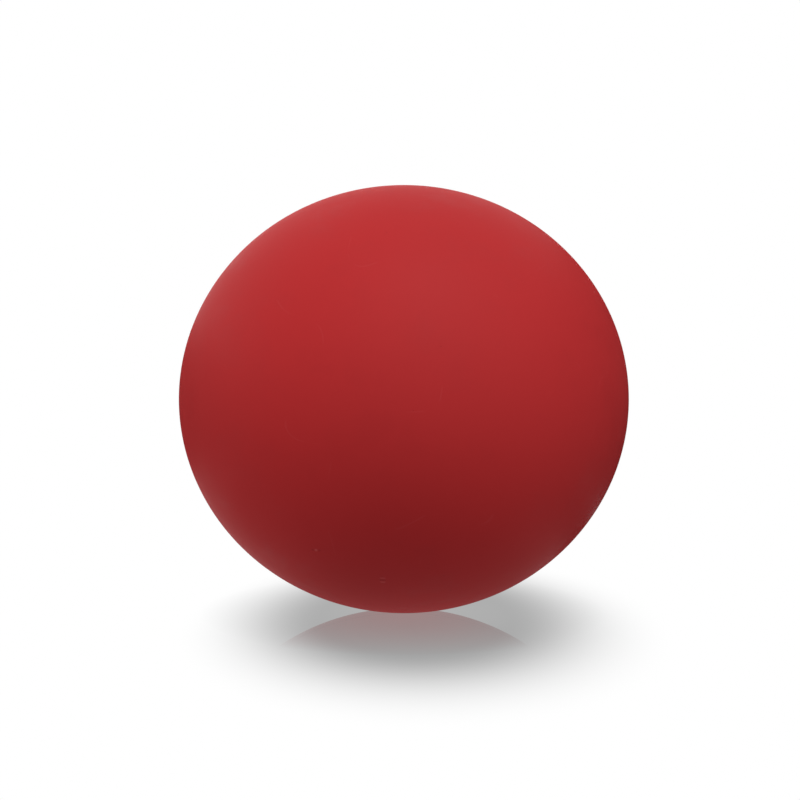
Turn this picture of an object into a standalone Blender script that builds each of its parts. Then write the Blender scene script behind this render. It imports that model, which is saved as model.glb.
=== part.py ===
"""A firm massage ball: a soft rubber cover in two cups, cemented over a hollow core of two welded halves.

Metres, +Z up. The ball stands on the origin, on the small flat that soft rubber presses out under its own
weight. The cover's seam is upright, with a cup in front (-Y) and one behind; the core's weld lies level.
"""

import math

import bmesh
import bpy
from mathutils import Matrix

# The ball as a whole: slightly wider than it is tall
BALL_WIDTH = 0.0650
BALL_HEIGHT = 0.0618
CONTACT_FLAT = 0.0044

# The soft cover and the tongue and groove round its seam
COVER_WALL = 0.0090
CEMENT_FILM = 0.0003
SEAM_TONGUE_WIDTH = 0.0024
SEAM_TONGUE_HEIGHT = 0.0020

# The hard core, its weld flange and the tongue and groove of the weld
CORE_WALL = 0.0030
WELD_FILM = 0.0003
FLANGE_REACH = 0.0020
FLANGE_THICKNESS = 0.0036
WELD_TONGUE_WIDTH = 0.0010
WELD_TONGUE_HEIGHT = 0.0012

# Notches in the flange, which the cover's lugs fill so that the cover can't slip round
NOTCH_COUNT = 8
NOTCH_WIDTH = 0.0040

# Inside the core: crossed webs on a centre post, and the pin that lines the halves up
WEB_PLATES = 2
WEB_THICKNESS = 0.0016
WEB_SETBACK = 0.0006
POST_DIAMETER = 0.0090
PIN_DIAMETER = 0.0044
PIN_LENGTH = 0.0050
PIN_CLEARANCE = 0.0003

# How finely round shapes are cut
COVER_STEPS = 36
COVER_ARC = 32
CAVITY_ARC = 12
CORE_STEPS = 40
CORE_ARC = 7
RING_POINTS = 56
POST_SIDES = 24
SHARP_ANGLE = math.radians(35)

# Cutters run this far past what they cut, and joined shapes this far into each other
OVERRUN = 0.0010
MERGE = 0.000001

# Finishes: satin red rubber outside, natural moulded plastic inside
COVER_RED = (0.46, 0.030, 0.034, 1.0)
COVER_ROUGHNESS = 0.45
CORE_IVORY = (0.80, 0.77, 0.70, 1.0)
CORE_ROUGHNESS = 0.40

# Half sizes of the ball, of the cover's cavity, of the core's outside and of its inside
ball_x, ball_z = BALL_WIDTH / 2, BALL_HEIGHT / 2
cavity_x, cavity_z = ball_x - COVER_WALL, ball_z - COVER_WALL
core_x, core_z = cavity_x - CEMENT_FILM, cavity_z - CEMENT_FILM
hollow_x, hollow_z = core_x - CORE_WALL, core_z - CORE_WALL
wall_middle = core_x - CORE_WALL / 2

flat_angle = -math.acos(CONTACT_FLAT / BALL_WIDTH)
centre_height = -ball_z * math.sin(flat_angle)
flange_edge = core_x + FLANGE_REACH
flange_half = FLANGE_THICKNESS / 2
weld_face = WELD_FILM / 2
seam_face = CEMENT_FILM / 2


def make_collection(name):
    collection = bpy.data.collections.new(name)
    bpy.context.scene.collection.children.link(collection)
    return collection


def make_material(name, colour, roughness):
    material = bpy.data.materials.new(name)
    material.use_nodes = True
    shader = material.node_tree.nodes["Principled BSDF"]
    shader.inputs["Base Color"].default_value = colour
    shader.inputs["Roughness"].default_value = roughness
    shader.inputs["Metallic"].default_value = 0.0
    material.diffuse_color = colour
    return material


def make_shading():
    """A node group that shades a piece smooth, except across edges that turn by more than SHARP_ANGLE."""
    group = bpy.data.node_groups.new("smooth_round_faces", "GeometryNodeTree")
    for way in ("INPUT", "OUTPUT"):
        group.interface.new_socket("Geometry", in_out=way, socket_type="NodeSocketGeometry")
    start = group.nodes.new("NodeGroupInput")
    end = group.nodes.new("NodeGroupOutput")
    turn = group.nodes.new("GeometryNodeInputMeshEdgeAngle")
    gentle = group.nodes.new("FunctionNodeCompare")
    gentle.operation = "LESS_THAN"
    gentle.inputs[1].default_value = SHARP_ANGLE
    faces = group.nodes.new("GeometryNodeSetShadeSmooth")
    edges = group.nodes.new("GeometryNodeSetShadeSmooth")
    edges.domain = "EDGE"
    group.links.new(start.outputs["Geometry"], faces.inputs["Geometry"])
    group.links.new(faces.outputs["Geometry"], edges.inputs["Geometry"])
    group.links.new(turn.outputs["Unsigned Angle"], gentle.inputs[0])
    group.links.new(gentle.outputs["Result"], edges.inputs["Shade Smooth"])
    group.links.new(edges.outputs["Geometry"], end.inputs["Geometry"])
    return group


def object_from(name, shape, collection):
    """A named object that holds a finished bmesh."""
    mesh = bpy.data.meshes.new(name)
    shape.to_mesh(mesh)
    shape.free()
    made = bpy.data.objects.new(name, mesh)
    collection.objects.link(made)
    return made


def as_helper(helper):
    helper.hide_render = True
    helper.display_type = "WIRE"
    return helper


def boolean(target, other, operation):
    modifier = target.modifiers.new(f"{operation.lower()}_{other.name}", "BOOLEAN")
    modifier.object = other
    modifier.operation = operation
    modifier.solver = "EXACT"


def ellipse_arc(half_width, half_height, start, end, pieces):
    """Points (x, z) on an ellipse, between two angles that are counted up from its widest line."""
    angles = [start + (end - start) * i / pieces for i in range(pieces + 1)]
    return [(half_width * math.cos(a), half_height * math.sin(a)) for a in angles]


def half_turned(name, section, angle, offset, collection):
    """A solid swept by a section in the XZ plane through half a turn about Z, then moved along Y."""
    shape = bmesh.new()
    face = shape.faces.new([shape.verts.new((x, 0.0, z)) for x, z in section])
    swept = [face, *face.edges, *face.verts]
    bmesh.ops.spin(shape, geom=swept, axis=(0, 0, 1), angle=angle, steps=COVER_STEPS)
    bmesh.ops.remove_doubles(shape, verts=shape.verts[:], dist=MERGE)
    bmesh.ops.recalc_face_normals(shape, faces=shape.faces[:])
    bmesh.ops.translate(shape, verts=shape.verts[:], vec=(0, offset, 0))
    return object_from(name, shape, collection)


def turned(name, profile, collection, closed=False):
    """A solid turned about Z from a profile at +X that runs down its outer side."""
    shape = bmesh.new()
    corners = [shape.verts.new((x, 0.0, z)) for x, z in profile]
    for upper, lower in zip(corners, corners[1:] + corners[:1] if closed else corners[1:]):
        shape.edges.new((upper, lower))
    made = object_from(name, shape, collection)
    screw = made.modifiers.new("turn", "SCREW")
    screw.steps = CORE_STEPS
    screw.render_steps = CORE_STEPS
    screw.use_merge_vertices = True
    screw.merge_threshold = MERGE
    return made


def plate(name, outlines, thickness, collection):
    """A flat plate in the XZ plane, centred on it; an outline inside another is a hole."""
    curve = bpy.data.curves.new(name, "CURVE")
    curve.dimensions = "2D"
    curve.fill_mode = "BOTH"
    curve.extrude = thickness / 2
    for outline in outlines:
        spline = curve.splines.new("POLY")
        spline.points.add(len(outline) - 1)
        for point, (x, z) in zip(spline.points, outline):
            point.co = (x, z, 0.0, 1.0)
        spline.use_cyclic_u = True
    drawn = bpy.data.objects.new(name, curve)
    collection.objects.link(drawn)
    graph = bpy.context.evaluated_depsgraph_get()
    mesh = bpy.data.meshes.new_from_object(drawn.evaluated_get(graph))
    bpy.data.objects.remove(drawn, do_unlink=True)
    shape = bmesh.new()
    shape.from_mesh(mesh)
    bpy.data.meshes.remove(mesh)
    bmesh.ops.remove_doubles(shape, verts=shape.verts[:], dist=MERGE)
    bmesh.ops.recalc_face_normals(shape, faces=shape.faces[:])
    bmesh.ops.transform(shape, verts=shape.verts[:], matrix=Matrix.Rotation(math.pi / 2, 4, "X"))
    return object_from(name, shape, collection)


def rod(name, diameter, bottom, top, collection):
    """An upright round bar on the ball's axis."""
    shape = bmesh.new()
    bmesh.ops.create_cone(
        shape,
        cap_ends=True,
        segments=POST_SIDES,
        radius1=diameter / 2,
        radius2=diameter / 2,
        depth=top - bottom,
        matrix=Matrix.Translation((0, 0, (top + bottom) / 2)),
    )
    return object_from(name, shape, collection)


def spokes(name, width, inner, outer, half_height, collection):
    """Blocks set round the weld plane, one at each notch, clear of the cover's seam."""
    shape = bmesh.new()
    pitch = 2 * math.pi / NOTCH_COUNT
    block = Matrix.Diagonal((outer - inner, width, 2 * half_height, 1))
    reach = Matrix.Translation(((inner + outer) / 2, 0, 0))
    for i in range(NOTCH_COUNT):
        turn = Matrix.Rotation((i + 0.5) * pitch, 4, "Z")
        bmesh.ops.create_cube(shape, size=1.0, matrix=turn @ reach @ block)
    return object_from(name, shape, collection)


def seam_ring(name, width, front, back, collection):
    """A ring that follows the seam, midway between the flange's groove and the skin, from front to back."""
    depth = (COVER_WALL - FLANGE_REACH - CEMENT_FILM) / 2
    outlines = []
    for side in (width / 2, -width / 2):
        inset = depth - side
        outlines.append(ellipse_arc(ball_x - inset, ball_z - inset, 0, 2 * math.pi, RING_POINTS)[:-1])
    ring = plate(name, outlines, back - front, collection)
    ring.location.y = (front + back) / 2
    return ring


def cover_cup(name, angle, offset, collection):
    """Half of the cover: the wall's section, flat at its foot, swept through half a turn."""
    skin = ellipse_arc(ball_x, ball_z, math.pi / 2, flat_angle, COVER_ARC)
    foot = [(0.0, -centre_height)]
    cavity = ellipse_arc(cavity_x, cavity_z, -math.pi / 2, math.pi / 2, CAVITY_ARC)
    return half_turned(name, skin + foot + cavity, angle, offset, collection)


def cover(parts, cutters, material):
    """Both cups, keyed to the core's flange; the front one has the tongue, the rear one its groove."""
    front = cover_cup("cover_front", -math.pi, -seam_face, parts)
    rear = cover_cup("cover_rear", math.pi, seam_face, parts)
    groove_edge = flange_edge + CEMENT_FILM
    groove_half = flange_half + CEMENT_FILM
    groove_start = cavity_x - OVERRUN
    section = [
        (groove_edge, groove_half),
        (groove_edge, -groove_half),
        (groove_start, -groove_half),
        (groove_start, groove_half),
    ]
    flange_groove = as_helper(turned("flange_groove", section, cutters, closed=True))
    lug_width = NOTCH_WIDTH - 2 * CEMENT_FILM
    lug_span = (groove_start - OVERRUN, groove_edge + OVERRUN)
    lugs = as_helper(spokes("cover_lugs", lug_width, *lug_span, groove_half + OVERRUN, cutters))
    boolean(flange_groove, lugs, "DIFFERENCE")

    tongue_end = SEAM_TONGUE_HEIGHT - seam_face
    groove_end = tongue_end + CEMENT_FILM
    tongue = seam_ring("seam_tongue", SEAM_TONGUE_WIDTH, -seam_face - OVERRUN, tongue_end, cutters)
    groove_width = SEAM_TONGUE_WIDTH + 2 * CEMENT_FILM
    groove = seam_ring("seam_groove", groove_width, seam_face - OVERRUN, groove_end, cutters)
    boolean(front, as_helper(tongue), "UNION")
    boolean(rear, as_helper(groove), "DIFFERENCE")
    for cup in (front, rear):
        boolean(cup, flange_groove, "DIFFERENCE")
        cup.data.materials.append(material)
    return [front, rear], [flange_groove, lugs, tongue, groove]


def core_profile(tongue_width, tongue_height):
    """The upper half's section: down over the shell and flange, in along the weld face, and up inside."""
    flange_angle = math.asin(flange_half / core_z)
    hollow_angle = math.asin(weld_face / hollow_z)
    outside = ellipse_arc(core_x, core_z, math.pi / 2, flange_angle, CORE_ARC)
    inside = ellipse_arc(hollow_x, hollow_z, hollow_angle, math.pi / 2, CORE_ARC)
    tongue_outer = wall_middle + tongue_width / 2
    tongue_inner = wall_middle - tongue_width / 2
    tongue_tip = weld_face - tongue_height
    rim = [
        (flange_edge, flange_half),
        (flange_edge, weld_face),
        (tongue_outer, weld_face),
        (tongue_outer, tongue_tip),
        (tongue_inner, tongue_tip),
        (tongue_inner, weld_face),
    ]
    return outside + rim + inside


def core_half(name, profile, side, parts, cutters, material):
    """One half of the core, with a post and webs rooted in its wall; side is 1 above and -1 below."""
    half = turned(name, profile, parts)
    root = (CORE_WALL - WELD_TONGUE_WIDTH - 2 * WELD_FILM) / 4
    ends = sorted((side * weld_face, side * (hollow_z + root)))
    helpers = [rod(f"{name}_post", POST_DIAMETER, *ends, cutters)]
    web_foot = weld_face + WEB_SETBACK
    arch = ellipse_arc(hollow_x + root, hollow_z + root - web_foot, 0, math.pi, 2 * CORE_ARC)
    web = [(x, side * (web_foot + z)) for x, z in arch]
    for i in range(WEB_PLATES):
        web_plate = plate(f"{name}_web_{i + 1}", [web], WEB_THICKNESS, cutters)
        web_plate.rotation_euler.z = (i + 0.5) * math.pi / WEB_PLATES
        helpers.append(web_plate)
    for helper in helpers:
        boolean(half, as_helper(helper), "UNION")
    half.data.materials.append(material)
    return half, helpers


def core(parts, cutters, material):
    """Both halves of the core, notched at the flange, with the weld and the pin made to fit each other."""
    upper_profile = core_profile(WELD_TONGUE_WIDTH, WELD_TONGUE_HEIGHT)
    groove_profile = core_profile(WELD_TONGUE_WIDTH + 2 * WELD_FILM, -WELD_TONGUE_HEIGHT)
    lower_profile = [(x, -z) for x, z in reversed(groove_profile)]
    upper, upper_helpers = core_half("core_upper", upper_profile, 1, parts, cutters, material)
    lower, lower_helpers = core_half("core_lower", lower_profile, -1, parts, cutters, material)

    pin_tip = weld_face - PIN_LENGTH
    pin = as_helper(rod("pin", PIN_DIAMETER, pin_tip, weld_face + OVERRUN, cutters))
    socket_diameter = PIN_DIAMETER + 2 * PIN_CLEARANCE
    socket_floor = pin_tip - PIN_CLEARANCE
    socket = as_helper(rod("pin_socket", socket_diameter, socket_floor, OVERRUN, cutters))
    boolean(upper, pin, "UNION")
    boolean(lower, socket, "DIFFERENCE")
    notch_span = (core_x, flange_edge + OVERRUN)
    notches = as_helper(spokes("flange_notches", NOTCH_WIDTH, *notch_span, flange_half + OVERRUN, cutters))
    for half in (upper, lower):
        boolean(half, notches, "DIFFERENCE")
    return [upper, lower], [*upper_helpers, *lower_helpers, pin, socket, notches]


def main():
    for scene_object in list(bpy.data.objects):
        bpy.data.objects.remove(scene_object, do_unlink=True)
    parts = make_collection("massage_ball")
    cutters = make_collection("massage_ball_cutters")
    centre = bpy.data.objects.new("ball_centre", None)
    centre.location.z = centre_height
    parts.objects.link(centre)
    rubber = make_material("cover_rubber", COVER_RED, COVER_ROUGHNESS)
    plastic = make_material("core_plastic", CORE_IVORY, CORE_ROUGHNESS)
    cups, cover_helpers = cover(parts, cutters, rubber)
    halves, core_helpers = core(parts, cutters, plastic)
    shading = make_shading()
    for piece in cups + halves:
        piece.modifiers.new("shading", "NODES").node_group = shading
    for piece in cups + halves + cover_helpers + core_helpers:
        piece.parent = centre


main()
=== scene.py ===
"""Dresses a firm massage ball: satin red rubber cups, the cement in their seam, and a plain white stage.

It is laid out as an add-on and run as a script. Sizes are metres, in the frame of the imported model: +Z is
up, the ball stands on the origin, the seam lies in the XZ plane and the front cup faces -Y.
"""

import math
from typing import NamedTuple

import bmesh
import bpy
import numpy as np
from bpy.props import FloatProperty, FloatVectorProperty, IntProperty, PointerProperty
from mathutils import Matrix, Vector


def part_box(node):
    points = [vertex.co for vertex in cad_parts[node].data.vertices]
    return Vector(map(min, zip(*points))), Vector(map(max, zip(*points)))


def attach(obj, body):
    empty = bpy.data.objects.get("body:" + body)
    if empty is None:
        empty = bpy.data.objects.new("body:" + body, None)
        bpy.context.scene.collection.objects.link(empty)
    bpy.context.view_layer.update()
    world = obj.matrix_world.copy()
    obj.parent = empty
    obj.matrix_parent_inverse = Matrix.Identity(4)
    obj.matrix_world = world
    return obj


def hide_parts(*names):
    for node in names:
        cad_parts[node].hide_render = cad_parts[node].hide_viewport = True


bl_info = {
    "name": "Massage Ball",
    "version": (1, 0, 0),
    "blender": (4, 5, 0),
    "location": "3D View > Sidebar > Massage Ball",
    "description": "Dresses the packed massage ball in satin rubber and sets it on a white stage",
    "category": "Object",
}

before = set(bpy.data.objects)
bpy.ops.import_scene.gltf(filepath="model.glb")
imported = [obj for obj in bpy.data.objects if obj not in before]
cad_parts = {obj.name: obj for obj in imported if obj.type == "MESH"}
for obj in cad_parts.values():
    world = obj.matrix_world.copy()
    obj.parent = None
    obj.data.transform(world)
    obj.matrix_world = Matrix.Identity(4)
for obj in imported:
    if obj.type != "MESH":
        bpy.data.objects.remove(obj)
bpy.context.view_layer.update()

BODY = "root"
MERGE = 1e-7
SHARP_ANGLE = math.radians(35)
FULL_TURN = 2 * math.pi
GOLDEN_ANGLE = math.pi * (3 - math.sqrt(5))
WHITE = (1.0, 1.0, 1.0, 1.0)
BLACK = (0.01, 0.01, 0.01, 1.0)

# Waves in the skin, and points along the short curves of the seam's section
SWELL_WAVES = 6
SHOULDER_POINTS = 12
EDGE_POINTS = 7
CEMENT_POINTS = 7

# How far each mark darkens, pales and dulls the rubber, and how high it stands in depths of the grain
# Nick crests get a painted highlight and nick hollows painted shade; the other marks are the rubber's own.
DARKENED = {"pinhole": 0.60, "handled": 0.05, "painted_groove_shade": 0.45}
PALED = {"scuff": 0.12, "buffed": 0.06, "streak": 0.10, "foot": 0.25, "painted_ridge_highlight": 0.65}
DULLED = {"scuff": 0.06, "buffed": 0.04, "streak": 0.08, "foot": 0.15}
RAISED = {"streak": 2.0, "ridges": 3.0}

# Darkest and palest tone of the cement and of the plastic, as shares of their colours
CEMENT_TONES = (0.85, 1.20)
PLASTIC_TONES = (0.95, 1.04)


def shared_box(*nodes):
    """Lowest and highest corner of several CAD nodes taken together."""
    corners = np.array([[tuple(corner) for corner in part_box(node)] for node in nodes])
    return corners[:, 0].min(axis=0), corners[:, 1].max(axis=0)


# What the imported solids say: the core is centred in the ball, so its middle is the ball's centre
cover_low, cover_high = shared_box("cover_front", "cover_rear")
core_low, core_high = shared_box("core_upper", "core_lower")
centre_height = float(core_low[2] + core_high[2]) / 2
half_width = float(cover_high[0] - cover_low[0]) / 2
half_height = float(cover_high[2]) - centre_height
film = 2 * float(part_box("cover_rear")[0].y)
cover_wall = half_height - float(core_high[2] - core_low[2]) / 2 - film
flange_edge = float(core_high[0])


# Short forms for the settings, one for each kind of value


def length(name, description, default):
    return FloatProperty(
        name=name, description=description, default=default, unit="LENGTH", precision=5
    )


def position(name, description, default):
    return FloatVectorProperty(
        name=name,
        description=description,
        default=default,
        size=3,
        subtype="XYZ",
        unit="LENGTH",
        precision=5,
    )


def angle(name, description, degrees):
    return FloatProperty(
        name=name, description=description, default=math.radians(degrees), subtype="ANGLE"
    )


def pixels(name, description, default):
    return FloatProperty(name=name, description=description, default=default, subtype="PIXEL")


def share(name, description, default):
    return FloatProperty(
        name=name, description=description, default=default, min=0, max=1, subtype="FACTOR"
    )


def amount(name, description, default):
    return FloatProperty(name=name, description=description, default=default, min=0)


def count(name, description, default, least):
    return IntProperty(name=name, description=description, default=default, min=least)


def colour(name, description, default):
    return FloatVectorProperty(
        name=name, description=description, default=default, min=0, max=1, size=3, subtype="COLOR"
    )


class CoverSettings(bpy.types.PropertyGroup):
    """Sizes of the rubber cups and of the cement between them."""

    half_width: length("Half width", "From the ball's centre to its side", half_width)
    half_height: length("Half height", "From the ball's centre to its top", half_height)
    wall: length("Wall", "Thickness of the rubber", cover_wall)
    film: length("Cement film", "Gap between the cups, which the cement fills", film)
    edge_round: length("Edge round", "Radius of each cup's edge along the seam", 0.00012)
    cement_recess: length("Cement recess", "How far the cement lies under the skin", 0.00007)
    cement_depth: length("Cement depth", "How far the cement shown in the seam reaches in", 0.0010)
    shoulder: length("Shoulder", "Width of the fine band of skin beside the seam", 0.0030)
    tongue_width: length("Tongue width", "Width of the seam's tongue", 0.0024)
    tongue_height: length("Tongue height", "How far the seam's tongue stands out", 0.0020)
    flange_edge: length("Flange edge", "From the core's axis to the edge of its weld flange", flange_edge)
    flange_thickness: length("Flange thickness", "Thickness of the core's weld flange", 0.0036)
    notch_width: length("Notch width", "Width of the notches in the weld flange", 0.0040)
    notch_count: count("Notches", "Notches round the weld flange", 8, 2)
    swell_height: length("Swell height", "Height of the slow waves in the moulded skin", 0.00003)
    swell_length: length("Swell length", "Length of the slow waves in the moulded skin", 0.024)
    quarter_points: count("Quarter points", "Points along a quarter of the seam", 128, 16)
    cavity_columns: count("Cavity columns", "Columns of the cup's inside wall", 72, 12)


class RubberSettings(bpy.types.PropertyGroup):
    """The satin red finish of the cups, its small marks, and the darker finish of the cement."""

    colour: colour("Rubber", "Colour of the moulded rubber", (0.46, 0.0225, 0.024))
    roughness: share("Roughness", "Mean roughness of the satin skin", 0.62)
    specular: share("Specular", "Strength of the skin's reflection", 0.115)
    grain_size: length("Grain size", "Width of the mould's fine grain", 0.00030)
    grain_depth: length("Grain depth", "Depth of the mould's fine grain", 0.0000035)
    drift_size: length("Drift size", "Width of the slow changes of tone", 0.011)
    drift_share: share("Drift share", "How far the tone drifts from the mean", 0.035)
    speckle_size: length("Speckle size", "Width of the fine specks of tone", 0.0009)
    speckle_share: share("Speckle share", "How much of the drift of tone the specks are", 0.3)
    bloom_size: length("Bloom size", "Width of the duller and smoother patches", 0.019)
    bloom_share: share("Bloom share", "How far the roughness varies", 0.10)
    handled_size: length("Handled size", "Width of the patches smoothed by handling", 0.008)
    handled_share: share("Handled share", "How far handling lowers the roughness", 0.05)
    peel_size: length("Peel size", "Width of the skin's slow unevenness", 0.0026)
    peel_depth: length("Peel depth", "Depth of the skin's slow unevenness", 0.000008)
    pinhole_spacing: length("Pinhole spacing", "Grid on which the pinholes are scattered", 0.0055)
    pinhole_radius: length("Pinhole radius", "Radius of the largest pinholes", 0.00014)
    pinhole_depth: length("Pinhole depth", "Depth of the largest pinholes", 0.000025)
    scuff_size: length("Scuff size", "Length of the curves that the hairline scuffs follow", 0.016)
    scuff_width: length("Scuff width", "Width of the hairline scuffs", 0.00010)
    buffed_width: length("Buffed width", "Half width of the band buffed along the seam", 0.0016)
    streak_size: length("Streak size", "Length of the streaks in the buffed band", 0.003)
    streak_stretch: amount("Streak stretch", "How many times longer than wide the streaks are", 20)
    foot_height: length("Foot height", "How far dust reaches up from the foot", 0.0004)
    # The pale colour also paints the nicks' crests as a highlight, and the dark colour paints shade in their
    # hollows.
    pale: colour("Pale rubber", "Colour of scuffed, buffed, nicked and dusty rubber", (0.56, 0.085, 0.09))
    dark: colour("Dark rubber", "Colour in pinholes and nicks and on handled patches", (0.22, 0.008, 0.010))
    side_nick: position(
        "Side nick", "Where the small pale nick low on the left lies", (-0.01179, -0.02353, 0.01254)
    )
    side_nick_size: position(
        "Side nick size", "Reach of that nick along X, Y and Z", (0.00105, 0.00105, 0.00024)
    )
    side_nick_ridge: length("Side nick ridge", "From ridge to ridge of that nick", 0.00098)
    foot_nick: position(
        "Foot nick", "Where the ridged nick above the foot lies", (-0.00290, -0.02205, 0.00820)
    )
    foot_nick_size: position(
        "Foot nick size", "Reach of that nick along X, Y and Z", (0.00055, 0.0015, 0.0010)
    )
    foot_nick_ridge: length("Foot nick ridge", "From ridge to ridge of that nick", 0.00069)
    foot_nick_share: share("Foot nick share", "Height of that nick's ridges beside the other's", 0.7)
    cement_colour: colour("Cement", "Colour of the cement in the seam", (0.20, 0.010, 0.012))
    cement_roughness: share("Cement roughness", "Roughness of the cement where it is smoothest", 0.62)
    lump_size: length("Lump size", "Width of the lumps along the cement", 0.0012)
    lump_depth: length("Lump depth", "Depth of the lumps along the cement", 0.0000175)
    lump_share: share("Lump share", "How much rougher the lumps are", 0.16)


class CoreSettings(bpy.types.PropertyGroup):
    """The finish of the hard core."""

    colour: colour("Plastic", "Colour of the moulded plastic", (0.80, 0.77, 0.70))
    roughness: share("Roughness", "Mean roughness of the plastic", 0.42)
    flow_size: length("Flow size", "Width of the flow marks", 0.006)
    flow_stretch: amount("Flow stretch", "How many times taller than wide the flow marks are", 4)
    flow_share: share("Flow share", "How far the roughness varies with the flow marks", 0.12)
    grain_size: length("Grain size", "Width of the mould's texture", 0.00045)
    grain_depth: length("Grain depth", "Depth of the mould's texture", 0.000006)


class StageSettings(bpy.types.PropertyGroup):
    """Camera, lamps and floor."""

    picture_size: pixels("Picture size", "Along a side of the picture", 800)
    ball_column: pixels("Ball column", "Column of the ball's centre", 403.85)
    ball_row: pixels("Ball row", "Row of the ball's centre", 398.8)
    ball_reach: pixels("Ball reach", "From the ball's centre to its side", 224.9)
    lens: FloatProperty(name="Lens", description="Focal length", default=85, unit="CAMERA")
    elevation: angle("Elevation", "How far the camera looks down on the ball", 5)
    floor_reach: length("Floor reach", "From the ball to the floor's edge", 4.0)
    floor_drop: length("Floor drop", "Clear coat between the ball's flat and the floor's white", 0.0004)
    floor_bounce: share("Floor bounce", "How much light the floor throws back", 0.10)
    floor_glow: share("Floor glow", "How much light the floor gives, as a light table does", 0.15)
    foot_glow: share("Foot glow", "How much more light the floor gives at the ball's foot", 0.46)
    foot_reach: length("Foot reach", "How far from the foot the floor gives more light", 0.038)
    # The shade settings shape the shadow painted on the floor; the light they speak of is imagined, no lamp
    # casts it.
    shade_tilt: angle("Shade tilt", "How far the light that casts the shadow leans from overhead", 16.44)
    shade_turn: angle("Shade turn", "How far to the left of straight behind it leans", 26.69)
    shade_stretch: amount("Shade stretch", "How much longer its shadow is from front to back", 1.679)
    shade_end: share("Shade end", "Share of the light hidden where the shadow ends", 0.316)
    shade_full: share("Shade full", "Share of the light hidden where the shadow is full", 0.826)
    shade_depth: share("Shade depth", "How dark the full shadow is", 0.638)
    gloss: share("Gloss", "Strength of the floor's mirror at the ball's foot", 0.50)
    gloss_reach: length("Gloss reach", "How far the floor's mirror carries from the foot", 0.0298)
    surround: share("Surround", "Level of what the floor mirrors beside the ball", 0.551)
    ambient: amount("Ambient", "Light from all round", 0.318)
    overhead: amount("Overhead lamp", "Light from above and in front", 1.276)
    front: amount("Front lamp", "Wide light from the front, on the right", 1.034)
    side: amount("Side lamp", "Low light from the left", 1.171)
    edge: amount("Edge lamp", "Wide low light from the left, behind", 0.443)
    rear: amount("Rear lamp", "Low light from behind", 1.30)


class BallSettings(bpy.types.PropertyGroup):
    """All settings of the massage ball."""

    cover: PointerProperty(type=CoverSettings)
    rubber: PointerProperty(type=RubberSettings)
    core: PointerProperty(type=CoreSettings)
    stage: PointerProperty(type=StageSettings)


# Surfaces


def swell(cover, points):
    """Height of the skin's slow waves: the mean of sine waves along spread directions, each with its phase.

    The directions lie on a spiral from pole to pole that turns by the golden angle at each step.
    """
    number = np.arange(SWELL_WAVES)
    level = (2 * number + 1) / SWELL_WAVES - 1
    turn = number * GOLDEN_ANGLE
    across = np.sqrt(1 - level**2)
    ways = np.stack([across * np.cos(turn), across * np.sin(turn), level])
    waves = np.sin(points @ ways * FULL_TURN / cover.swell_length + turn)
    return cover.swell_height * waves.mean(axis=-1)


def skin(cover, turn, rise, depth):
    """Points of the ball's skin, or just under it, measured from the ball's centre.

    An ellipse round the seam, half width by half height less the depth, is drawn in by the cosine of the
    rise and set out from the seam by its sine; then the slow waves are added and the foot is pressed flat.
    """
    reach = cover.half_width - depth
    x = reach * np.cos(rise) * np.cos(turn)
    y = reach * np.sin(rise)
    z = (cover.half_height - depth) * np.cos(rise) * np.sin(turn)
    points = np.stack(np.broadcast_arrays(x, y, z), axis=-1)
    points = points * (1 + swell(cover, points) / cover.half_width)[..., None]
    points[..., 2] = np.maximum(points[..., 2], -centre_height)
    return points


def ring_turns(cover):
    """Angles of the seam's points, once round and back to the first."""
    return np.linspace(0, FULL_TURN, 4 * cover.quarter_points + 1)


def dome(cover):
    """The cup's skin without its shoulder, on a square grid that has no pole.

    A point's larger coordinate gives its ring, from the crown at 0 to the shoulder at 1, and the ratio of
    the two gives its turn: along each side of a ring the turn changes by a quarter at an even rate.
    """
    line = np.linspace(-1, 1, cover.quarter_points + 1)
    p, q = np.meshgrid(line, line, indexing="ij")
    ring = np.maximum(np.abs(p), np.abs(q))
    wide = np.abs(p) >= np.abs(q)
    along = np.where(wide, q, p) / np.where(ring == 0, 1, np.where(wide, p, q))
    turn = np.where(wide, along, 2 - along) * math.pi / 4
    turn = turn + np.where(np.where(wide, p, q) < 0, math.pi, 0)
    shoulder_rise = math.asin(cover.shoulder / cover.half_width)
    rise = math.pi / 2 - ring * (math.pi / 2 - shoulder_rise)
    return skin(cover, turn, rise, 0.0)


def flange_groove(cover):
    """Radius and half height of the groove in the cups that holds the core's flange."""
    return cover.flange_edge + cover.film, cover.flange_thickness / 2 + cover.film


def cavity_depth(cover, turn):
    """Depth of the cavity under the skin along the seam: the wall, or less at the flange's groove."""
    groove_radius, groove_half = flange_groove(cover)
    sideways = np.maximum(np.abs(np.cos(turn)), MERGE)
    depth = cover.half_width - groove_radius / sideways
    level = (cover.half_height - depth) * np.abs(np.sin(turn))
    return np.where(level < groove_half, depth, cover.wall)


def seam_face(cover, turn, depth, out):
    """Points at a depth under the skin along the seam, set out from the seam's face."""
    x = (cover.half_width - depth) * np.cos(turn)
    z = (cover.half_height - depth) * np.sin(turn)
    z = np.maximum(z, -centre_height)
    return np.stack(np.broadcast_arrays(x, out, z), axis=-1)


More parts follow.
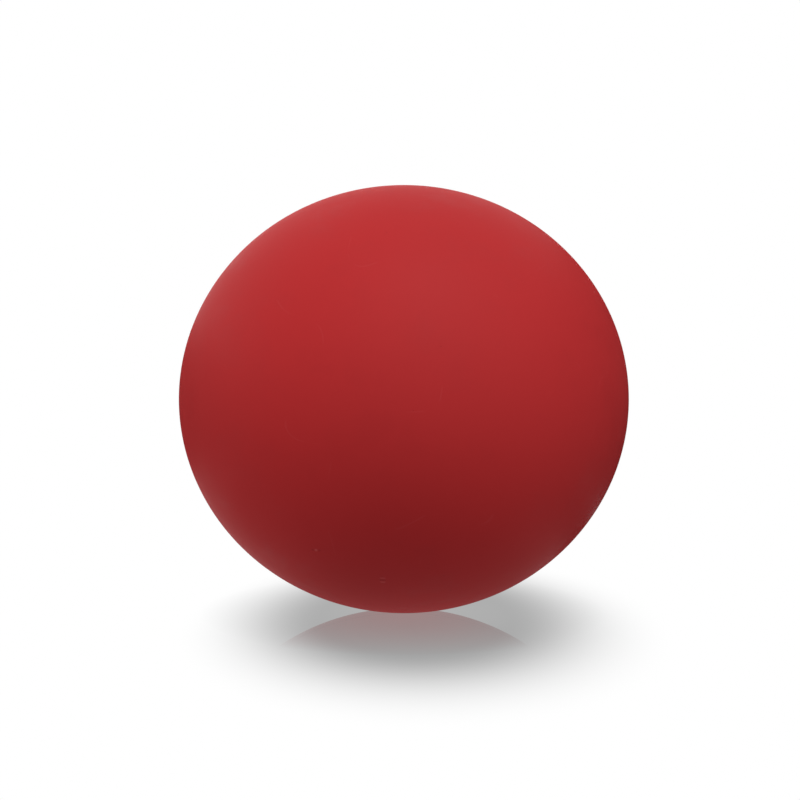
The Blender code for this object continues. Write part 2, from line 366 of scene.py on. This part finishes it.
def rim(cover, tongue_width, tongue_height):
    """The band beside the seam: a section carried round the ball.

    The section runs along the shoulder, over a quarter circle at the edge, in across the face, over the
    tongue (or into its groove, where the height is positive) and on to the cavity.
    """
    turn = ring_turns(cover)[:, None]
    shoulder = np.geomspace(cover.shoulder, cover.edge_round, SHOULDER_POINTS)
    bend = np.linspace(0, math.pi / 2, EDGE_POINTS)[1:]
    out = np.concatenate([shoulder, cover.edge_round * (1 - np.sin(bend))])
    depth = np.concatenate([np.zeros_like(shoulder), cover.edge_round * (1 - np.cos(bend))])
    edge = skin(cover, turn, np.arcsin(out / cover.half_width), depth)

    groove_radius, _ = flange_groove(cover)
    middle = (cover.half_width - groove_radius) / 2
    near = middle - tongue_width / 2
    far = middle + tongue_width / 2
    depth = np.array([near / 2, near, near, far, far])
    out = np.array([0, 0, tongue_height, tongue_height, 0])
    face = seam_face(cover, turn, depth, out)
    inner = seam_face(cover, turn, cavity_depth(cover, turn), 0.0)
    return np.concatenate([edge, face, inner], axis=1)


def cavity(cover):
    """The cup's inside wall, turned about the upright axis through half a turn.

    Rows run down from the top and keep the seam's depths; those at the flange sink into its groove, apart
    from the lugs, where the wall keeps to the ellipse so that it fills a notch of the flange.
    """
    turn = np.linspace(math.pi / 2, -math.pi / 2, 2 * cover.quarter_points + 1)
    depth = cavity_depth(cover, turn)
    radius = (cover.half_width - depth) * np.cos(turn)
    level = (cover.half_height - depth) * np.sin(turn)
    ellipse = np.sqrt(np.clip(1 - (level / (cover.half_height - cover.wall)) ** 2, 0, 1))
    plain = (cover.half_width - cover.wall) * ellipse

    pitch = FULL_TURN / cover.notch_count
    lugs = (np.arange(cover.notch_count // 2) + 0.5) * pitch
    half_lug = math.asin((cover.notch_width / 2 - cover.film) / cover.flange_edge)
    draft = half_lug / 12
    sides = np.array([-1, 1])[:, None] * (half_lug + draft * np.array([-1, 1]))
    even = np.linspace(0, math.pi, cover.cavity_columns + 1)
    column = np.unique(np.concatenate([even, (lugs[:, None] + sides.ravel()).ravel()]))
    offset = np.abs(column[:, None] - lugs).min(axis=1)
    lug = np.clip((half_lug + draft - offset) / (2 * draft), 0, 1)

    reach = radius[:, None] - np.maximum(radius - plain, 0)[:, None] * lug
    level = np.broadcast_to(level[:, None], reach.shape)
    return np.stack([reach * np.cos(column), reach * np.sin(column), level], axis=-1)


def cement_ring(cover):
    """The cement shown in the seam: a thin strip carried round the ball, closed both ways.

    It stays just clear of both cups. Its outer face dips a little in the middle, as a parabola, and its
    inner end lies deeper in the seam.
    """
    turn = ring_turns(cover)[:, None]
    clear = cover.film / 30
    dip = cover.film / 8
    half = cover.film / 2 - clear
    across = np.linspace(-1, 1, CEMENT_POINTS)
    outer = cover.cement_recess + dip * (1 - across**2)
    depth = np.concatenate([outer, [cover.cement_depth, cover.cement_depth, outer[0]]])
    out = half * np.concatenate([across, [1, -1, -1]])
    return seam_face(cover, turn, depth, out)


def closed_mesh(name, grids):
    """One mesh from grids of points: neighbours become quads, and points that coincide become one.

    The faces of a closed mesh then point outwards.
    """
    faces, start = [], 0
    for grid in grids:
        rows, columns = grid.shape[:2]
        corner = start + np.arange(rows - 1)[:, None] * columns + np.arange(columns - 1)
        quads = np.stack([corner, corner + 1, corner + columns + 1, corner + columns], axis=-1)
        faces.append(quads.reshape(-1, 4))
        start += rows * columns
    points = np.concatenate([grid.reshape(-1, 3) for grid in grids])
    mesh = bpy.data.meshes.new(name)
    mesh.from_pydata(points.tolist(), [], np.concatenate(faces).tolist())
    shape = bmesh.new()
    shape.from_mesh(mesh)
    bmesh.ops.remove_doubles(shape, verts=shape.verts[:], dist=MERGE)
    bmesh.ops.recalc_face_normals(shape, faces=shape.faces[:])
    shape.to_mesh(mesh)
    shape.free()
    mesh.shade_smooth()
    mesh.set_sharp_from_angle(angle=SHARP_ANGLE)
    return mesh


def on_ball(grid, side, film_half):
    """Points from the ball's centre and a cup's seam face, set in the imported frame.

    The side is -1 for the front and 1 for the rear.
    """
    x, out, z = np.moveaxis(grid, -1, 0)
    return np.stack([x, side * (out + film_half), z + centre_height], axis=-1)


def show(name, mesh, material):
    """A new piece that stays where its mesh says and moves with the ball."""
    piece = bpy.data.objects.new(name, mesh)
    mesh.materials.append(material)
    bpy.context.scene.collection.objects.link(piece)
    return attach(piece, BODY)


# Finishes


class Signal:
    """A shader output that can stand in a sum: each +, - or * adds a Math node."""

    def __init__(self, sheet, socket):
        self.sheet = sheet
        self.socket = socket

    def __add__(self, other):
        return self.sheet.math("ADD", self, other)

    def __radd__(self, other):
        return self.sheet.math("ADD", other, self)

    def __sub__(self, other):
        return self.sheet.math("SUBTRACT", self, other)

    def __rsub__(self, other):
        return self.sheet.math("SUBTRACT", other, self)

    def __mul__(self, other):
        return self.sheet.math("MULTIPLY", self, other)

    def __rmul__(self, other):
        return self.sheet.math("MULTIPLY", other, self)


class Sheet:
    """The node tree of one finish or light, emptied and then filled by node()."""

    def __init__(self, tree):
        self.tree = tree
        tree.nodes.clear()

    def node(self, kind, settings=None, inputs=None):
        """Adds a node, with its settings first and then its sockets' values or links.

        It gives the node's outputs by name.
        """
        made = self.tree.nodes.new(f"ShaderNode{kind}")
        for name, value in (settings or {}).items():
            setattr(made, name, value)
        live = {socket.name: socket for socket in reversed(made.inputs) if socket.enabled}
        for key, value in (inputs or {}).items():
            socket = made.inputs[key] if isinstance(key, int) else live[key]
            if isinstance(value, Signal):
                self.tree.links.new(value.socket, socket)
            else:
                socket.default_value = value
        return {socket.name: Signal(self, socket) for socket in made.outputs if socket.enabled}

    def math(self, operation, *terms):
        """A Math node on the terms."""
        return self.node("Math", {"operation": operation}, dict(enumerate(terms)))["Value"]

    def vector(self, operation, *terms):
        """A Vector Math node on the terms: a length and a dot product are numbers, the rest are vectors."""
        output = "Value" if operation in ("LENGTH", "DOT_PRODUCT") else "Vector"
        return self.node("VectorMath", {"operation": operation}, dict(enumerate(terms)))[output]

    def place(self):
        """Object coordinates, in metres."""
        return self.node("TexCoord")["Object"]

    def scaled(self, place, scale):
        """Coordinates times the scale, on which a pattern is that much narrower along each axis."""
        return self.node("Mapping", {}, {"Vector": place, "Scale": scale})["Vector"]

    def noise(self, place, size, detail, roughness=0.5):
        """Soft noise from 0 to 1 whose features are about as wide as the size."""
        inputs = {"Vector": place, "Scale": 1 / size, "Detail": detail, "Roughness": roughness}
        return self.node("TexNoise", {"normalize": True}, inputs)["Fac"]

    def fade(self, value, start, end):
        """1 up to the start, then smoothly down to 0 at the end."""
        inputs = {"Value": value, "From Min": start, "From Max": end, "To Min": 1.0, "To Max": 0.0}
        return self.node("MapRange", {"interpolation_type": "SMOOTHSTEP"}, inputs)["Result"]

    def blend(self, factor, first, second):
        """A colour between two others."""
        inputs = {"Factor": factor, "A": first, "B": second}
        return self.node("Mix", {"data_type": "RGBA"}, inputs)["Result"]

    def bump(self, height, distance):
        """A normal tilted by a height whose unit is the distance."""
        return self.node("Bump", {}, {"Height": height, "Strength": 1.0, "Distance": distance})["Normal"]

    def mix(self, factor, first, second):
        """A shader between two others."""
        return self.node("MixShader", {}, {0: factor, 1: first, 2: second})["Shader"]

    def surface(self, shader, output="OutputMaterial"):
        """Ends the tree with a shader."""
        self.node(output, {}, {"Surface": shader})

    def principled(self, inputs):
        """Ends the tree with a Principled shader."""
        self.surface(self.node("BsdfPrincipled", {}, inputs)["BSDF"])


def new_material(name):
    """An empty material and the sheet that fills it."""
    material = bpy.data.materials.new(name)
    material.use_nodes = True
    return material, Sheet(material.node_tree)


def tint(rgb, factor=1):
    """A colour made darker or paler by a factor, with full alpha."""
    return (*[channel * factor for channel in rgb], 1.0)


def weighted(marks, weights):
    """Sum of the marks that have a weight, each times its own."""
    first, *rest = [marks[name] * weight for name, weight in weights.items()]
    return sum(rest, first)


def pinholes(sheet, place, rubber):
    """Scattered pinholes: spots round those random points that happen to lie close to the skin."""
    inputs = {"Vector": place, "Scale": 1 / rubber.pinhole_spacing}
    away = sheet.node("TexVoronoi", {"feature": "F1"}, inputs)["Distance"]
    edge = rubber.pinhole_radius / rubber.pinhole_spacing
    return sheet.fade(away, edge / 2, edge)


def hairlines(sheet, place, rubber):
    """Hairline scuffs: the curves on which a slow noise has its middle value, broken up by a quicker one."""
    slow = sheet.noise(place, rubber.scuff_size, detail=1.0)
    quick = sheet.noise(place, rubber.scuff_size / 3, detail=1.0)
    width = rubber.scuff_width / rubber.scuff_size
    line = sheet.fade(sheet.math("ABSOLUTE", slow - 0.5), start=0.0, end=width)
    return line * (1 - sheet.fade(quick, start=0.56, end=0.66))


def nick(sheet, place, centre, size, way, ridge):
    """A small nick: ridges, as a cosine along one way, that fade out over an ellipsoid round its centre."""
    offset = sheet.vector("SUBTRACT", place, centre)
    away = sheet.vector("LENGTH", sheet.vector("DIVIDE", offset, size))
    along = sheet.vector("DOT_PRODUCT", offset, way)
    return sheet.math("COSINE", along * (FULL_TURN / ridge)) * sheet.fade(away, start=0.5, end=1.0)


def rubber_marks(sheet, place, rubber):
    """The marks on the rubber, each about 1 where it is strongest and 0 where it isn't.

    The nicks' ridges also go below 0; their crests and hollows are the parts above and below it.
    The crests carry a painted highlight and the hollows painted shade.
    """
    axis = sheet.node("SeparateXYZ", {}, {"Vector": place})
    across = sheet.math("ABSOLUTE", axis["Y"])
    buffed = sheet.fade(across, rubber.buffed_width / 2, rubber.buffed_width)
    drawn = sheet.scaled(place, (1.0, rubber.streak_stretch, 1.0))
    touched = sheet.noise(place, rubber.handled_size, detail=5.0, roughness=0.65)
    side = nick(sheet, place, rubber.side_nick, rubber.side_nick_size, (1, 0, 0), rubber.side_nick_ridge)
    foot = nick(sheet, place, rubber.foot_nick, rubber.foot_nick_size, (0, 0, 1), rubber.foot_nick_ridge)
    ridges = side - foot * rubber.foot_nick_share
    return {
        "pinhole": pinholes(sheet, place, rubber),
        "handled": 1 - sheet.fade(touched, start=0.50, end=0.66),
        "scuff": hairlines(sheet, place, rubber),
        "buffed": buffed,
        "streak": sheet.noise(drawn, rubber.streak_size, detail=2.0) * buffed,
        "foot": sheet.fade(axis["Z"], 0.0, rubber.foot_height),
        "ridges": ridges,
        # Painted highlight on the nicks' crests and painted shade in their hollows
        "painted_ridge_highlight": sheet.math("MAXIMUM", ridges, 0.0),
        "painted_groove_shade": sheet.math("MAXIMUM", 0.0 - ridges, 0.0),
    }


def satin_rubber(rubber):
    """Moulded red rubber with the marks of its making and its use.

    Its tone drifts slowly and is finely speckled. Its gloss changes with bloomed and handled patches and
    along the band buffed at the seam. Its relief is a fine grain on a slow peel, with pinholes. Hairline
    scuffs, a dusty foot and two small nicks lie on top; the nicks' crests carry a painted highlight and
    their hollows painted shade.
    """
    material, sheet = new_material("satin_rubber")
    place = sheet.place()
    marks = rubber_marks(sheet, place, rubber)
    drift = sheet.noise(place, rubber.drift_size, detail=3.0)
    speckle = sheet.noise(place, rubber.speckle_size, detail=1.0)
    bloom = sheet.noise(place, rubber.bloom_size, detail=4.0, roughness=0.6)
    grain = sheet.noise(place, rubber.grain_size, detail=2.0)
    peel = sheet.noise(place, rubber.peel_size, detail=2.0)

    tone = drift * (1 - rubber.speckle_share) + speckle * rubber.speckle_share
    dim = tint(rubber.colour, 1 - rubber.drift_share)
    bright = tint(rubber.colour, 1 + rubber.drift_share)
    base = sheet.blend(tone, dim, bright)
    # Pinholes and handled patches darken the rubber itself; the nicks' hollows are painted shade.
    base = sheet.blend(weighted(marks, DARKENED), base, tint(rubber.dark))
    # Scuffs, buffing, streaks and dust pale it; the nicks' crests are a painted highlight.
    base = sheet.blend(weighted(marks, PALED), base, tint(rubber.pale))

    patches = (bloom - 0.5) * rubber.bloom_share - marks["handled"] * rubber.handled_share
    relief = grain + peel * (rubber.peel_depth / rubber.grain_depth)
    relief = relief - marks["pinhole"] * (rubber.pinhole_depth / rubber.grain_depth)
    relief = relief + weighted(marks, RAISED)
    sheet.principled(
        {
            "Base Color": base,
            "Roughness": rubber.roughness + patches + weighted(marks, DULLED),
            "Specular IOR Level": rubber.specular,
            "Normal": sheet.bump(relief, rubber.grain_depth),
        }
    )
    return material


def seam_cement(rubber):
    """Dried rubber cement: darker than the cups, slightly lumpy, and with a third of their reflection."""
    material, sheet = new_material("seam_cement")
    lump = sheet.noise(sheet.place(), rubber.lump_size, detail=2.0)
    tones = [tint(rubber.cement_colour, tone) for tone in CEMENT_TONES]
    sheet.principled(
        {
            "Base Color": sheet.blend(lump, *tones),
            "Roughness": rubber.cement_roughness + lump * rubber.lump_share,
            "Specular IOR Level": rubber.specular / 3,
            "Normal": sheet.bump(lump, rubber.lump_depth),
        }
    )
    return material


def moulded_plastic(core):
    """Natural hard plastic: pale, with drawn-out flow marks and the mould's fine texture."""
    material, sheet = new_material("moulded_plastic")
    place = sheet.place()
    drawn = sheet.scaled(place, (1.0, 1.0, 1 / core.flow_stretch))
    flow = sheet.noise(drawn, core.flow_size, detail=4.0, roughness=0.55)
    grain = sheet.noise(place, core.grain_size, detail=2.0)
    tones = [tint(core.colour, tone) for tone in PLASTIC_TONES]
    sheet.principled(
        {
            "Base Color": sheet.blend(flow, *tones),
            "Roughness": core.roughness + (flow - 0.5) * core.flow_share,
            "Normal": sheet.bump(grain, core.grain_depth),
        }
    )
    return material


# Stage


class Lamp(NamedTuple):
    """A lamp's place and width as seen from the ball, in degrees, and whether the ball's gloss shows it."""

    name: str
    azimuth: float
    elevation: float
    spread: float
    in_gloss: bool


class Card(NamedTuple):
    """A black card's azimuth in degrees, its width, and the distance and height of its ends."""

    name: str
    azimuth: float
    width: float
    near: float
    far: float
    bottom: float
    top: float


LAMPS = (
    Lamp("overhead", azimuth=20, elevation=65, spread=35, in_gloss=True),
    Lamp("front", azimuth=30, elevation=30, spread=90, in_gloss=True),
    Lamp("side", azimuth=-90, elevation=5, spread=35, in_gloss=False),
    Lamp("edge", azimuth=-120, elevation=10, spread=90, in_gloss=True),
    Lamp("rear", azimuth=180, elevation=5, spread=35, in_gloss=False),
)
CARDS = (
    Card("left_card", azimuth=-130, width=0.100, near=0.040, far=0.040, bottom=0.014, top=0.044),
    Card("right_card", azimuth=125, width=0.120, near=0.040, far=0.040, bottom=0.009, top=0.068),
    Card("floor_card", azimuth=120, width=0.090, near=0.028, far=0.052, bottom=0.0005, top=0.0005),
)


def towards(azimuth, elevation):
    """Unit vector from the ball; azimuth 0 is the front (-Y), counted to the right."""
    flat = math.cos(elevation)
    return Vector((math.sin(azimuth) * flat, -math.cos(azimuth) * flat, math.sin(elevation)))


def seen_rays(sheet):
    """1 for rays that show the stage, straight on, mirrored or through glass; 0 for light on its way."""
    path = sheet.node("LightPath")
    shown = path["Is Camera Ray"] + path["Is Glossy Ray"]
    return sheet.math("MAXIMUM", shown, path["Is Transmission Ray"])


def floor_mirror(sheet):
    """1 for rays that the floor mirrors, since it alone is quite smooth; 0 for all others."""
    return sheet.node("LightPath")["Is Singular Ray"]


def painted_shadow(sheet, stage, cover):
    """Painted shadow on the floor: its level under an imagined soft light, of which the ball hides a share.

    That share is (r / d) squared times the cosine between the light's axis and the way to the ball's centre,
    where r is the ball's radius and d its distance. The light is long from front to back, so that way counts
    for less. No lamp casts this shadow: the floor shows it as colour.
    """
    squeezed = sheet.vector("MULTIPLY", sheet.place(), (1.0, 1 / stage.shade_stretch, 1.0))
    way = sheet.vector("SUBTRACT", (0.0, 0.0, centre_height), squeezed)
    far = sheet.vector("LENGTH", way)
    axis = towards(math.pi + stage.shade_turn, math.pi / 2 - stage.shade_tilt)
    along = sheet.vector("DOT_PRODUCT", way, axis)
    hidden = along * cover.half_width**2 * sheet.math("POWER", far, -3.0)
    return 1 - (1 - sheet.fade(hidden, stage.shade_end, stage.shade_full)) * stage.shade_depth


def white_floor(stage, cover):
    """White floor: where it is seen it is white but for the ball's soft shadow, painted into its colour.

    Towards the ball's foot it also mirrors the ball a little, more so from a low angle. For light on its way
    it is a plain matt grey that glows softly, and more so at the foot.
    """
    material, sheet = new_material("white_floor")
    away = sheet.vector("LENGTH", sheet.place())
    # The seen floor is an emission that carries the painted shadow.
    matt = sheet.node("Emission", {}, {"Color": painted_shadow(sheet, stage, cover)})["Emission"]
    polish = sheet.node("BsdfGlossy", {}, {"Color": WHITE, "Roughness": 0.0})["BSDF"]
    low_angle = sheet.node("LayerWeight", {}, {"Blend": 0.5})["Facing"]
    near = 1 - sheet.math("POWER", away * (1 / stage.gloss_reach), 2.0)
    gloss = sheet.math("MAXIMUM", near, 0.0) * low_angle * stage.gloss
    shown = sheet.mix(gloss, matt, polish)
    bounce = sheet.node("BsdfDiffuse", {}, {"Color": tint(WHITE[:3], stage.floor_bounce)})["BSDF"]
    light = stage.floor_glow + sheet.fade(away, 0.0, stage.foot_reach) * stage.foot_glow
    glow = sheet.node("Emission", {}, {"Color": light})["Emission"]
    lit = sheet.node("AddShader", {}, {0: bounce, 1: glow})["Shader"]
    sheet.surface(sheet.mix(seen_rays(sheet), lit, shown))
    return material


def white_world(stage):
    """World that is white where it is seen, dimmer in the floor's mirror, and a soft fill for the rest."""
    world = bpy.data.worlds.new("white_world")
    world.use_nodes = True
    sheet = Sheet(world.node_tree)
    fill = sheet.node("Background", {}, {"Color": WHITE, "Strength": stage.ambient})["Background"]
    level = 1 - floor_mirror(sheet) * (1 - stage.surround)
    shown = sheet.node("Background", {}, {"Color": level})["Background"]
    sheet.surface(sheet.mix(seen_rays(sheet), fill, shown), "OutputWorld")
    return world


def add_floor(stage, cover):
    """A square floor round the ball, a clear coat's depth under its flat."""
    line = np.linspace(-stage.floor_reach, stage.floor_reach, 3)
    x, y = np.meshgrid(line, line)
    floor = closed_mesh("floor", [np.stack([x, y, np.full_like(x, -stage.floor_drop)], axis=-1)])
    floor.materials.append(white_floor(stage, cover))
    made = bpy.data.objects.new("floor", floor)
    bpy.context.scene.collection.objects.link(made)


def add_lamp(plan, strength):
    """A soft far lamp: an even disc of light, as wide as the spread, that shines on the ball.

    The floor doesn't mirror it, and a lamp that isn't in the gloss shows in no reflection at all.
    """
    lamp = bpy.data.lights.new(f"{plan.name}_lamp", "SUN")
    lamp.angle = math.radians(plan.spread)
    lamp.energy = strength
    lamp.use_nodes = True
    sheet = Sheet(lamp.node_tree)
    light = sheet.node("Emission", {}, {"Color": 1 - floor_mirror(sheet)})["Emission"]
    sheet.surface(light, "OutputLight")
    made = bpy.data.objects.new(lamp.name, lamp)
    way = towards(math.radians(plan.azimuth), math.radians(plan.elevation))
    made.rotation_mode = "QUATERNION"
    made.rotation_quaternion = way.to_track_quat("Z", "Y")
    made.visible_glossy = plan.in_gloss
    bpy.context.scene.collection.objects.link(made)


def add_card(plan):
    """A black card beside the ball that shows only in its gloss, to darken that part of its edge.

    It is as wide as the width, square to its azimuth, and runs from the near distance at the bottom to the
    far distance at the top.
    """
    way = towards(math.radians(plan.azimuth), 0.0)
    across = Vector((0, 0, 1)).cross(way)
    u, v = np.meshgrid(np.array([-plan.width, plan.width]) / 2, [0.0, 1.0])
    out = plan.near + (plan.far - plan.near) * v
    x = way.x * out + across.x * u
    y = way.y * out + across.y * u
    z = plan.bottom + (plan.top - plan.bottom) * v
    mesh = closed_mesh(plan.name, [np.stack([x, y, z], axis=-1)])
    material, sheet = new_material(plan.name)
    black = sheet.node("BsdfDiffuse", {}, {"Color": BLACK})["BSDF"]
    clear = sheet.node("BsdfTransparent")["BSDF"]
    sheet.surface(sheet.mix(floor_mirror(sheet), black, clear))
    mesh.materials.append(material)
    card = bpy.data.objects.new(plan.name, mesh)
    card.visible_camera = card.visible_diffuse = card.visible_shadow = False
    bpy.context.scene.collection.objects.link(card)


def add_camera(stage, cover):
    """Camera that frames the ball as the photograph does.

    The distance makes the ball's side fall on its pixel: a ball of half width r at distance d, seen by a
    lens of f pixels, reaches f r / sqrt(d d - r r) pixels. The camera is then moved across its view,
    unturned, until the ball's centre falls on its own pixel.
    """
    data = bpy.data.cameras.new("camera")
    data.lens = stage.lens
    focal = stage.lens / data.sensor_width * stage.picture_size
    distance = cover.half_width * math.hypot(1, focal / stage.ball_reach)
    made = bpy.data.objects.new("camera", data)
    back = towards(0.0, stage.elevation)
    facing = (-back).to_track_quat("-Z", "Y")
    column = (stage.ball_column - stage.picture_size / 2) / focal
    row = (stage.ball_row - stage.picture_size / 2) / focal
    made.location = Vector((0, 0, centre_height)) + back * distance
    made.location -= facing @ Vector((column, -row, 0)) * distance
    made.rotation_mode = "QUATERNION"
    made.rotation_quaternion = facing
    data.clip_start = distance / 100
    data.clip_end = stage.floor_reach * 10
    bpy.context.scene.collection.objects.link(made)
    bpy.context.scene.camera = made


# Operators


class BALL_OT_cover_cups(bpy.types.Operator):
    """Make the two rubber cups, each in place of its solid"""

    bl_idname = "massage_ball.cover_cups"
    bl_label = "Cover Cups"

    def execute(self, context):
        settings = context.scene.massage_ball
        cover = settings.cover
        material = satin_rubber(settings.rubber)
        groove_width = cover.tongue_width + 2 * cover.film
        plans = (
            ("front_cup", "cover_front", -1, cover.tongue_width, -cover.tongue_height),
            ("rear_cup", "cover_rear", 1, groove_width, cover.tongue_height),
        )
        for name, node, side, tongue_width, tongue_height in plans:
            grids = [dome(cover), rim(cover, tongue_width, tongue_height), cavity(cover)]
            mesh = closed_mesh(name, [on_ball(grid, side, cover.film / 2) for grid in grids])
            cup = show(name, mesh, material)
            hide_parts(node)
        return {"FINISHED"}


class BALL_OT_seam_cement(bpy.types.Operator):
    """Make the line of cement that shows in the seam"""

    bl_idname = "massage_ball.seam_cement"
    bl_label = "Seam Cement"

    def execute(self, context):
        settings = context.scene.massage_ball
        ring = on_ball(cement_ring(settings.cover), 1, 0.0)
        line = show("seam_cement", closed_mesh("seam_cement", [ring]), seam_cement(settings.rubber))
        return {"FINISHED"}


class BALL_OT_core_halves(bpy.types.Operator):
    """Give the core's halves their plastic; their shapes are the solids themselves"""

    bl_idname = "massage_ball.core_halves"
    bl_label = "Core Halves"

    def execute(self, context):
        material = moulded_plastic(context.scene.massage_ball.core)
        for node in ("core_upper", "core_lower"):
            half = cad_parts[node]
            half.data.materials.clear()
            half.data.materials.append(material)
        return {"FINISHED"}


class BALL_OT_stage(bpy.types.Operator):
    """Set up the white world, the floor, the lamps, the black cards and the camera"""

    bl_idname = "massage_ball.stage"
    bl_label = "Stage"

    def execute(self, context):
        settings = context.scene.massage_ball
        stage = settings.stage
        context.scene.view_settings.view_transform = "Standard"
        context.scene.world = white_world(stage)
        add_floor(stage, settings.cover)
        for lamp in LAMPS:
            add_lamp(lamp, getattr(stage, lamp.name))
        for card in CARDS:
            add_card(card)
        add_camera(stage, settings.cover)
        return {"FINISHED"}


class BALL_PT_sidebar(bpy.types.Panel):
    """Settings and steps of the massage ball"""

    bl_idname = "BALL_PT_sidebar"
    bl_label = "Massage Ball"
    bl_space_type = "VIEW_3D"
    bl_region_type = "UI"
    bl_category = "Massage Ball"

    def draw(self, context):
        settings = context.scene.massage_ball
        for heading in settings.__annotations__:
            group = getattr(settings, heading)
            box = self.layout.box()
            box.label(text=heading.title())
            for name in group.__annotations__:
                box.prop(group, name)
        for operator in OPERATORS:
            self.layout.operator(operator.bl_idname)


SETTINGS = (CoverSettings, RubberSettings, CoreSettings, StageSettings, BallSettings)
OPERATORS = (BALL_OT_cover_cups, BALL_OT_seam_cement, BALL_OT_core_halves, BALL_OT_stage)


def register():
    for kind in (*SETTINGS, *OPERATORS, BALL_PT_sidebar):
        bpy.utils.register_class(kind)
    bpy.types.Scene.massage_ball = PointerProperty(type=BallSettings)


def unregister():
    del bpy.types.Scene.massage_ball
    for kind in (BALL_PT_sidebar, *reversed(OPERATORS), *reversed(SETTINGS)):
        bpy.utils.unregister_class(kind)


def main():
    register()
    bpy.ops.massage_ball.cover_cups()
    bpy.ops.massage_ball.seam_cement()
    bpy.ops.massage_ball.core_halves()
    bpy.ops.massage_ball.stage()


if __name__ == "__main__":
    main()
